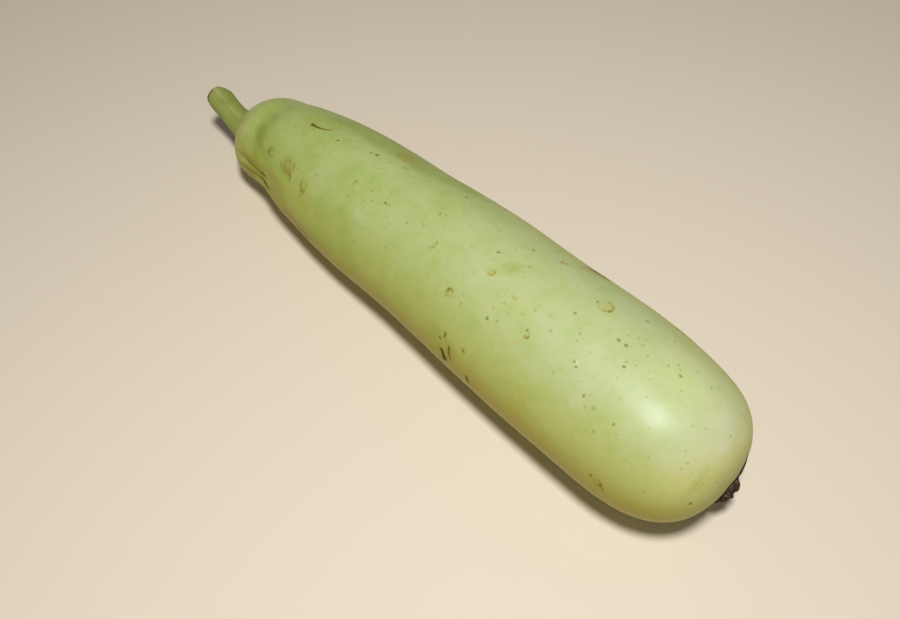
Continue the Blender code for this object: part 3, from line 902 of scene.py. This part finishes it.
def draw_bare_sides(skin, dice):
    for _ in range(BARE_RINGS):
        along = dice.uniform(*BARE_RING_ALONG)
        around = dice.uniform(*BARE_SIDES)
        size = dice.uniform(*BARE_RING_SIZES)
        narrow = size * BARE_RING_ROUNDNESS
        turn = any_turn(dice)
        line = dice.uniform(*BARE_RING_LINES)
        outline = waver(dice, RING_WAVER)
        skin.ring("cork", along, around, size, narrow, turn, line, turn + 90, outline)
    for spot in range(BARE_SPOTS):
        layer = ("tan", "green", "scab")[spot % 3]
        size = dice.uniform(*BARE_SPOT_SIZES)
        draw_bare_spot(skin, dice, layer, size, size * BARE_SPOT_ROUNDNESS, SPOT_RISE)
    for _ in range(BARE_STROKES):
        start = (dice.uniform(*BARE_STROKE_ALONG), dice.uniform(*BARE_SIDES))
        middle = moved(dice, start, BARE_STROKE_BEND)
        end = moved(dice, middle, BARE_STROKE_END_BEND)
        width = dice.uniform(*BARE_STROKE_WIDTHS)
        skin.stroke("dark", (start, middle, end), POINTED, width, BARE_STROKE_RISE, pointed=True)
    for freckle in range(BARE_FRECKLES):
        layer = ("mild", "faint", "green")[freckle % 3]
        size = dice.uniform(*BARE_FRECKLE_SIZES)
        draw_bare_spot(skin, dice, layer, size, size * BARE_FRECKLE_ROUNDNESS, DOT_RISE)


def draw_bare_spot(skin, dice, layer, length, width, rise):
    along = dice.uniform(*BARE_SPOT_ALONG)
    around = dice.uniform(*BARE_SIDES)
    turn = any_turn(dice)
    skin.spot(layer, along, around, length, width, turn, waver(dice, SPOT_WAVER), rise)


def moved(dice, place, bend):
    """The next place of a stroke: a little further along, and to either side."""
    return place[0] + dice.uniform(*BARE_STROKE_STEP), place[1] + dice.uniform(*bend)


def make_fruit():
    """The fruit, divided finely only near its marks, which are drawn on its points."""
    form = merged_copy("fruit", "smooth_form", SMOOTH_FORM_LEVELS)
    fruit = merged_copy("fruit", "fruit_skin", SKIN_LEVELS)
    for reach, sharp_only in DIVISIONS:
        trial = Skin(fruit, form)
        draw_marks(trial)
        divide_where(fruit, trial.marked(reach, sharp_only))
        apply_modifier(fruit, "SHRINKWRAP", target=form)
    clouds = bpy.data.textures.new("skin_lumps", "CLOUDS")
    clouds.noise_scale = LUMP_SIZE
    apply_modifier(fruit, "DISPLACE", texture=clouds, strength=LUMP_HEIGHT, texture_coords="LOCAL")
    skin = Skin(fruit, form)
    draw_marks(skin)
    for name, values in skin.layers.items():
        store(fruit.data, name, values)
    store(fruit.data, "turned", skin.normals[:, 2])
    store(fruit.data, "far_side", skin.normals[:, 1])
    points = skin.points + skin.normals * skin.rise[:, None] * MM
    points[:, 2] = np.maximum(points[:, 2], 0)
    write_points(fruit.data, points)
    bpy.data.objects.remove(form)
    skin_finish().paint(fruit)
    return fruit


# The stalk's colours.
STEM_GREEN = (0.29, 0.335, 0.08)
STEM_DARK = (0.22, 0.265, 0.055)
STEM_PALE = (0.42, 0.45, 0.19)
STEM_TAN = (0.30, 0.25, 0.09)
CUT_BROWN = (0.09, 0.042, 0.012)
PITH_TAN = (0.45, 0.36, 0.17)

# Where each of its paints begins on its pattern, where it is full, and its strength.
STEM_BLOTCHES = (0.42, 0.75, 0.7)
PALE_RIBS = (0.7, 0.35, 0.55)
DARK_FIBRES = (0.52, 0.8, 0.25)
DRY_RIM = (0.0, 0.7, 0.7)
BROWN_RIM = (0.45, 0.9, 1.0)
BROWN_CUT = (0.15, 0.5, 1.0)
PITH = (0.8, 1.05, 0.85)
ROUGH_CUT = (0.2, 0.6, 0.3)
RIM_RAGGEDNESS = 0.5
PITH_RAGGEDNESS = 0.6
STEM_ROUGHNESS = 0.6
STEM_SHINE = 0.25
STEM_GRAIN = 0.08

# Its relief, in millimetres: a few raised ribs and many finer ones, which all wander a little.
STALK_LEVELS = 3
STALK_RIBS = 5
FIRST_RIB = math.radians(10)
RIB_HEIGHT = 0.12
RIB_SHARPNESS = 9
RIB_WANDER = 0.25
FINE_RIBS = 19
FINE_RIB_HEIGHT = 0.02
FINE_RIB_WANDER = 1.2
WANDER_SIZE = 9
KNOB_HEIGHT = 0.12
KNOB_SIZE = 5
FIBRE_HEIGHT = 0.35
FIBRE_SIZE = 0.8

# Its cut: how far its faces look away from the fruit, and where it begins, as a share of the length.
CUT_BACK = (0.35, 0.75)
CUT_SHARE = (0.6, 0.75)

# The rim round the cut, which slants and wanders: where it begins, as a share of the length, and its waves.
RIM_SHARE = (0.90, 0.97)
RIM_SLANT = 0.02
RIM_SLANT_TURN = 1.2
RIM_WANDER = 0.015
RIM_WANDER_SIZE = 2


def stem_finish():
    stem = Finish("stalk_skin", STEM_ROUGHNESS)
    stem.set("Specular IOR Level", STEM_SHINE)
    blotches = stem.noise(size=5, stretch=1.3, detail=4, rough=0.6)
    fine = stem.noise(size=0.9, stretch=2, detail=3, rough=0.7, shift=4.0)
    cut = stem.layer("cut")
    rim = stem.layer("rim") + (fine - 0.5) * RIM_RAGGEDNESS
    pith = cut + (fine - 0.5) * PITH_RAGGEDNESS
    colour = stem.mixed(stem.mask(blotches, *STEM_BLOTCHES), STEM_GREEN, STEM_DARK)
    colour = stem.mixed(stem.layer("rib") * stem.mask(blotches, *PALE_RIBS), colour, STEM_PALE)
    colour = stem.mixed(stem.mask(fine, *DARK_FIBRES), colour, STEM_DARK)
    colour = stem.mixed(stem.mask(rim, *DRY_RIM), colour, STEM_TAN)
    colour = stem.mixed(stem.mask(rim, *BROWN_RIM), colour, CUT_BROWN)
    colour = stem.mixed(stem.mask(cut, *BROWN_CUT), colour, CUT_BROWN)
    colour = stem.mixed(stem.mask(pith, *PITH), colour, PITH_TAN)
    stem.set("Base Color", colour)
    stem.set("Roughness", STEM_ROUGHNESS + stem.mask(cut, *ROUGH_CUT))
    stem.bump(fine, STEM_GRAIN)
    return stem


def off_line(share, values, degree):
    """How far values lie off the line, straight or curved, that fits them best along the stalk."""
    return values - np.polyval(np.polyfit(share, values, degree), share)


def make_stalk():
    """The stem with ribs along it, and a dried, fibrous cut."""
    stalk = merged_copy("stalk", "stalk_stem", STALK_LEVELS)
    points = read_points(stalk.data, "co")
    normals = read_points(stalk.data, "normal")
    share = (stalk_high.x - points[:, 0]) / (stalk_high.x - stalk_low.x)
    side = off_line(share, points[:, 1], degree=1)
    up = off_line(share, points[:, 2], degree=2)
    around = np.arctan2(-side, up)
    cut = step(-normals[:, 0], *CUT_BACK) * step(share, *CUT_SHARE)
    slant = RIM_SLANT * np.cos(around - RIM_SLANT_TURN)
    rim = step(share + slant + RIM_WANDER * lumps(points, RIM_WANDER_SIZE), *RIM_SHARE)
    wander = lumps(points, WANDER_SIZE)
    waves = np.cos(STALK_RIBS * (around - FIRST_RIB) + RIB_WANDER * wander)
    rib = np.maximum(0, waves) ** RIB_SHARPNESS
    fine = np.cos(FINE_RIBS * around + FINE_RIB_WANDER * wander)
    rise = RIB_HEIGHT * rib + FINE_RIB_HEIGHT * fine + KNOB_HEIGHT * lumps(points, KNOB_SIZE, shift=2)
    rise = rise * (1 - cut) + FIBRE_HEIGHT * lumps(points, FIBRE_SIZE, shift=5) * cut
    write_points(stalk.data, points + normals * rise[:, None] * MM)
    store(stalk.data, "rib", rib)
    store(stalk.data, "rim", rim)
    store(stalk.data, "cut", cut)
    stem_finish().paint(stalk)
    return stalk


# The dried flower's colours, and where the lighter ones begin and are full, with their strength.
HUSK_DARK = (0.030, 0.019, 0.012)
HUSK_BROWN = (0.09, 0.05, 0.028)
# Grey of the dried tissue; on the husk's raised crumbs it is partly painted glints.
HUSK_GREY_AND_GLINT = (0.16, 0.125, 0.10)
BROWN_BLOTCHES = (0.4, 0.7, 1.0)
GREY_CRUMBS_AND_GLINTS = (0.55, 1.0, 0.8)
CRUMB_RAGGEDNESS = 1.2
HUSK_ROUGHNESS = 0.9
HUSK_SHINE = 0.15
HUSK_GRAIN = 0.2

# Its relief: how finely it is smoothed, and its crumbs, in millimetres.
FLOWER_LEVELS = 3
CRUMPLE_HEIGHT = 0.5
COARSE_CRUMB = 1.7
FINE_CRUMB = 0.8

# The crumbs of the petals, which only colour them: their size, and how grey they are on the whole.
PETAL_CRUMB = 0.9
PETAL_GREY = 0.2

# The withered petals: angle from +Y towards +Z, length, width, sideways bend, curl, height of the fold.
PETALS = (
    (77, 20, 2.8, 0.02, 0.1, 1.3),
    (28, 9, 3.6, -0.3, 0.7, 0.2),
    (-25, 8, 3.2, 0.25, 0.7, 0.3),
    (-78, 8, 3.4, -0.2, 0.7, 0.2),
    (-130, 7, 3.2, 0.3, 0.6, 0.3),
    (176, 8, 3.4, -0.25, 0.6, 0.3),
    (122, 8, 3.6, 0.3, 0.6, 0.2),
)
PETAL_START = 0.9
PETAL_THICKNESS = 0.22 * MM
PETAL_CUTS = (26, 9)

# A point inside the fruit, from which the petals are cast out onto its skin.
PETAL_SOURCE = flower_middle + Vector((-30, 0, 4)) * MM

# A petal's outline: how wide it is at its foot, how much wider in its middle, and how its tip narrows.
FOOT_WIDTH = 0.45
MIDDLE_WIDTH = 0.9
MIDDLE_BULGE = 0.8
MIDDLE_REACH = 1.02
TIP_TAPER = 0.75
PETAL_WOBBLE = 0.35
WOBBLES = 4

# How far a petal stands off the skin: all over, and at its foot, over a share of its length.
PETAL_LIFT = 0.22
FOOT_LIFT = 2.2
FOOT_SHARE = 0.25

# The fold along its middle: how steeply it falls to the edges, and how far it presses the tip down.
FOLD_SLOPE = 1.3
FOLD_SINK = 0.25

# The waves that its curl makes, at its edges and anywhere on it, higher towards its tip.
EDGE_WAVE = 0.55
EDGE_WAVE_BEND = 1.5
FREE_WAVE = 0.9
WAVES_ALONG = 5
WAVES_ACROSS = 1.3
WAVES_APART = 3.1
FOOT_CURL = 0.5
TIP_CURL = 0.7


def husk_finish():
    husk = Finish("dried_flower_husk", HUSK_ROUGHNESS)
    husk.set("Specular IOR Level", HUSK_SHINE)
    blotches = husk.noise(size=2.0, detail=4, rough=0.7)
    fine = husk.noise(size=0.5, detail=3, rough=0.7, shift=3.0)
    crumbs = husk.layer("crumb") + (fine - 0.5) * CRUMB_RAGGEDNESS
    colour = husk.mixed(husk.mask(blotches, *BROWN_BLOTCHES), HUSK_DARK, HUSK_BROWN)
    # Grey on the crumbs: on the husk's raised crumbs, partly painted glints.
    husk.set("Base Color", husk.mixed(husk.mask(crumbs, *GREY_CRUMBS_AND_GLINTS), colour, HUSK_GREY_AND_GLINT))
    husk.bump(fine, HUSK_GRAIN)
    return husk


def make_husk():
    """The crumpled middle of the dried flower."""
    husk = merged_copy("dried_flower", "dried_flower_husk", FLOWER_LEVELS)
    points = read_points(husk.data, "co")
    normals = read_points(husk.data, "normal")
    crumb = (1 + lumps(points, COARSE_CRUMB) + lumps(points, FINE_CRUMB, shift=3)) / 2
    write_points(husk.data, points + normals * CRUMPLE_HEIGHT * crumb[:, None] * MM)
    store(husk.data, "crumb", crumb)
    return husk


def petal_target(number, side, share, angle, length, width, bend):
    """The place off the fruit's end that a petal's point is cast towards."""
    turn = math.radians(angle)
    out = PETAL_START + length * share
    bulge = MIDDLE_WIDTH * math.sin(math.pi * min(1, share * MIDDLE_REACH)) ** MIDDLE_BULGE
    half = width / 2 * (FOOT_WIDTH + bulge) * (1 - TIP_TAPER * share**3)
    wobble = PETAL_WOBBLE * noise.noise(Vector((share * WOBBLES, side, number)))
    aside = side * half + bend * length * share**2 + wobble
    up = out * math.sin(turn) + aside * math.cos(turn)
    across = out * math.cos(turn) - aside * math.sin(turn)
    return flower_middle + Vector((0, across, up)) * MM


def petal_lift(number, side, share, curl, fold):
    """How far a petal's point stands off the skin, in millimetres."""
    place = Vector((share * WAVES_ALONG, side * WAVES_ACROSS, WAVES_APART * number))
    wave = EDGE_WAVE * abs(side) ** EDGE_WAVE_BEND + FREE_WAVE * noise.noise(place)
    foot = max(0, FOOT_LIFT * (1 - share / FOOT_SHARE))
    ridge = fold * ((1 - FOLD_SLOPE * abs(side)) * (1 - share) - FOLD_SINK * share)
    return PETAL_LIFT + foot + ridge + curl * max(0, wave) * (FOOT_CURL + TIP_CURL * share)


def make_petal(number, fruit, angle, length, width, bend, curl, fold):
    """A withered petal that clings to the fruit's end: a grid laid on the skin, then thickened."""
    bpy.ops.mesh.primitive_grid_add(x_subdivisions=PETAL_CUTS[0], y_subdivisions=PETAL_CUTS[1], size=2)
    petal = bpy.context.object
    petal.name = petal.data.name = f"withered_petal_{number}"
    points = []
    for run, side, _ in read_points(petal.data, "co"):
        share = (run + 1) / 2
        target = petal_target(number, side, share, angle, length, width, bend)
        point, normal = fruit.ray_cast(PETAL_SOURCE, target - PETAL_SOURCE)[1:3]
        points.append(point + normal * petal_lift(number, side, share, curl, fold) * MM)
    write_points(petal.data, np.array(points))
    with edit_mode(petal):
        bpy.ops.mesh.select_all(action="SELECT")
        bpy.ops.mesh.normals_make_consistent(inside=False)
    apply_modifier(petal, "SOLIDIFY", thickness=PETAL_THICKNESS, offset=0)
    apply_modifier(petal, "SUBSURF", levels=1, render_levels=1)
    petal.data.shade_smooth()
    crumb = PETAL_GREY + lumps(read_points(petal.data, "co"), PETAL_CRUMB, number)
    store(petal.data, "crumb", crumb)
    return petal


def make_dried_flower():
    finish = husk_finish()
    husk = make_husk()
    fruit = bpy.data.objects["fruit_skin"]
    petals = [make_petal(number, fruit, *shape) for number, shape in enumerate(PETALS, 1)]
    for piece in (husk, *petals):
        finish.paint(piece)
    for petal in petals:
        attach(petal, "root")
    return husk


def make_stage():
    bpy.ops.mesh.primitive_plane_add(size=FLOOR_SIZE, location=(0, 0, 0))
    floor = bpy.context.object
    floor.name = "floor"
    paper = Finish("pale_floor", FLOOR_ROUGHNESS)
    paper.set("Base Color", FLOOR_COLOUR)
    paper.paint(floor)
    bpy.ops.object.light_add(type="AREA", location=LAMP_PLACE)
    lamp = bpy.context.object
    lamp.rotation_euler = (LAMP_AIM - LAMP_PLACE).to_track_quat("-Z", "Y").to_euler()
    lamp.data.shape = "DISK"
    lamp.data.size = LAMP_SIZE
    lamp.data.energy = LAMP_POWER
    lamp.data.color = LAMP_COLOUR
    room = bpy.data.worlds.new("room")
    room.use_nodes = True
    room.node_tree.nodes["Background"].inputs["Color"].default_value = (*ROOM_COLOUR, 1)
    room.node_tree.nodes["Background"].inputs["Strength"].default_value = ROOM_STRENGTH
    bpy.context.scene.world = room


def make_camera():
    place = Vector((fruit_middle.x, fruit_middle.y, 0)) + CAMERA_PLACE
    turn = (math.radians(90 - CAMERA_ABOVE), 0, math.radians(CAMERA_ROUND))
    bpy.ops.object.camera_add(location=place, rotation=turn)
    camera = bpy.context.object
    camera.data.lens = CAMERA_LENS
    camera.data.sensor_width = CAMERA_SENSOR
    bpy.context.scene.camera = camera
    bpy.context.scene.view_settings.view_transform = "Standard"


make_camera()
make_stage()
for node, maker, slot in (
    ("fruit", make_fruit, "gourd_skin"),
    ("stalk", make_stalk, "stalk_skin"),
    ("dried_flower", make_dried_flower, "dried_flower_husk"),
):
    piece = maker()
    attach(piece, "root")
    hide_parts(node)
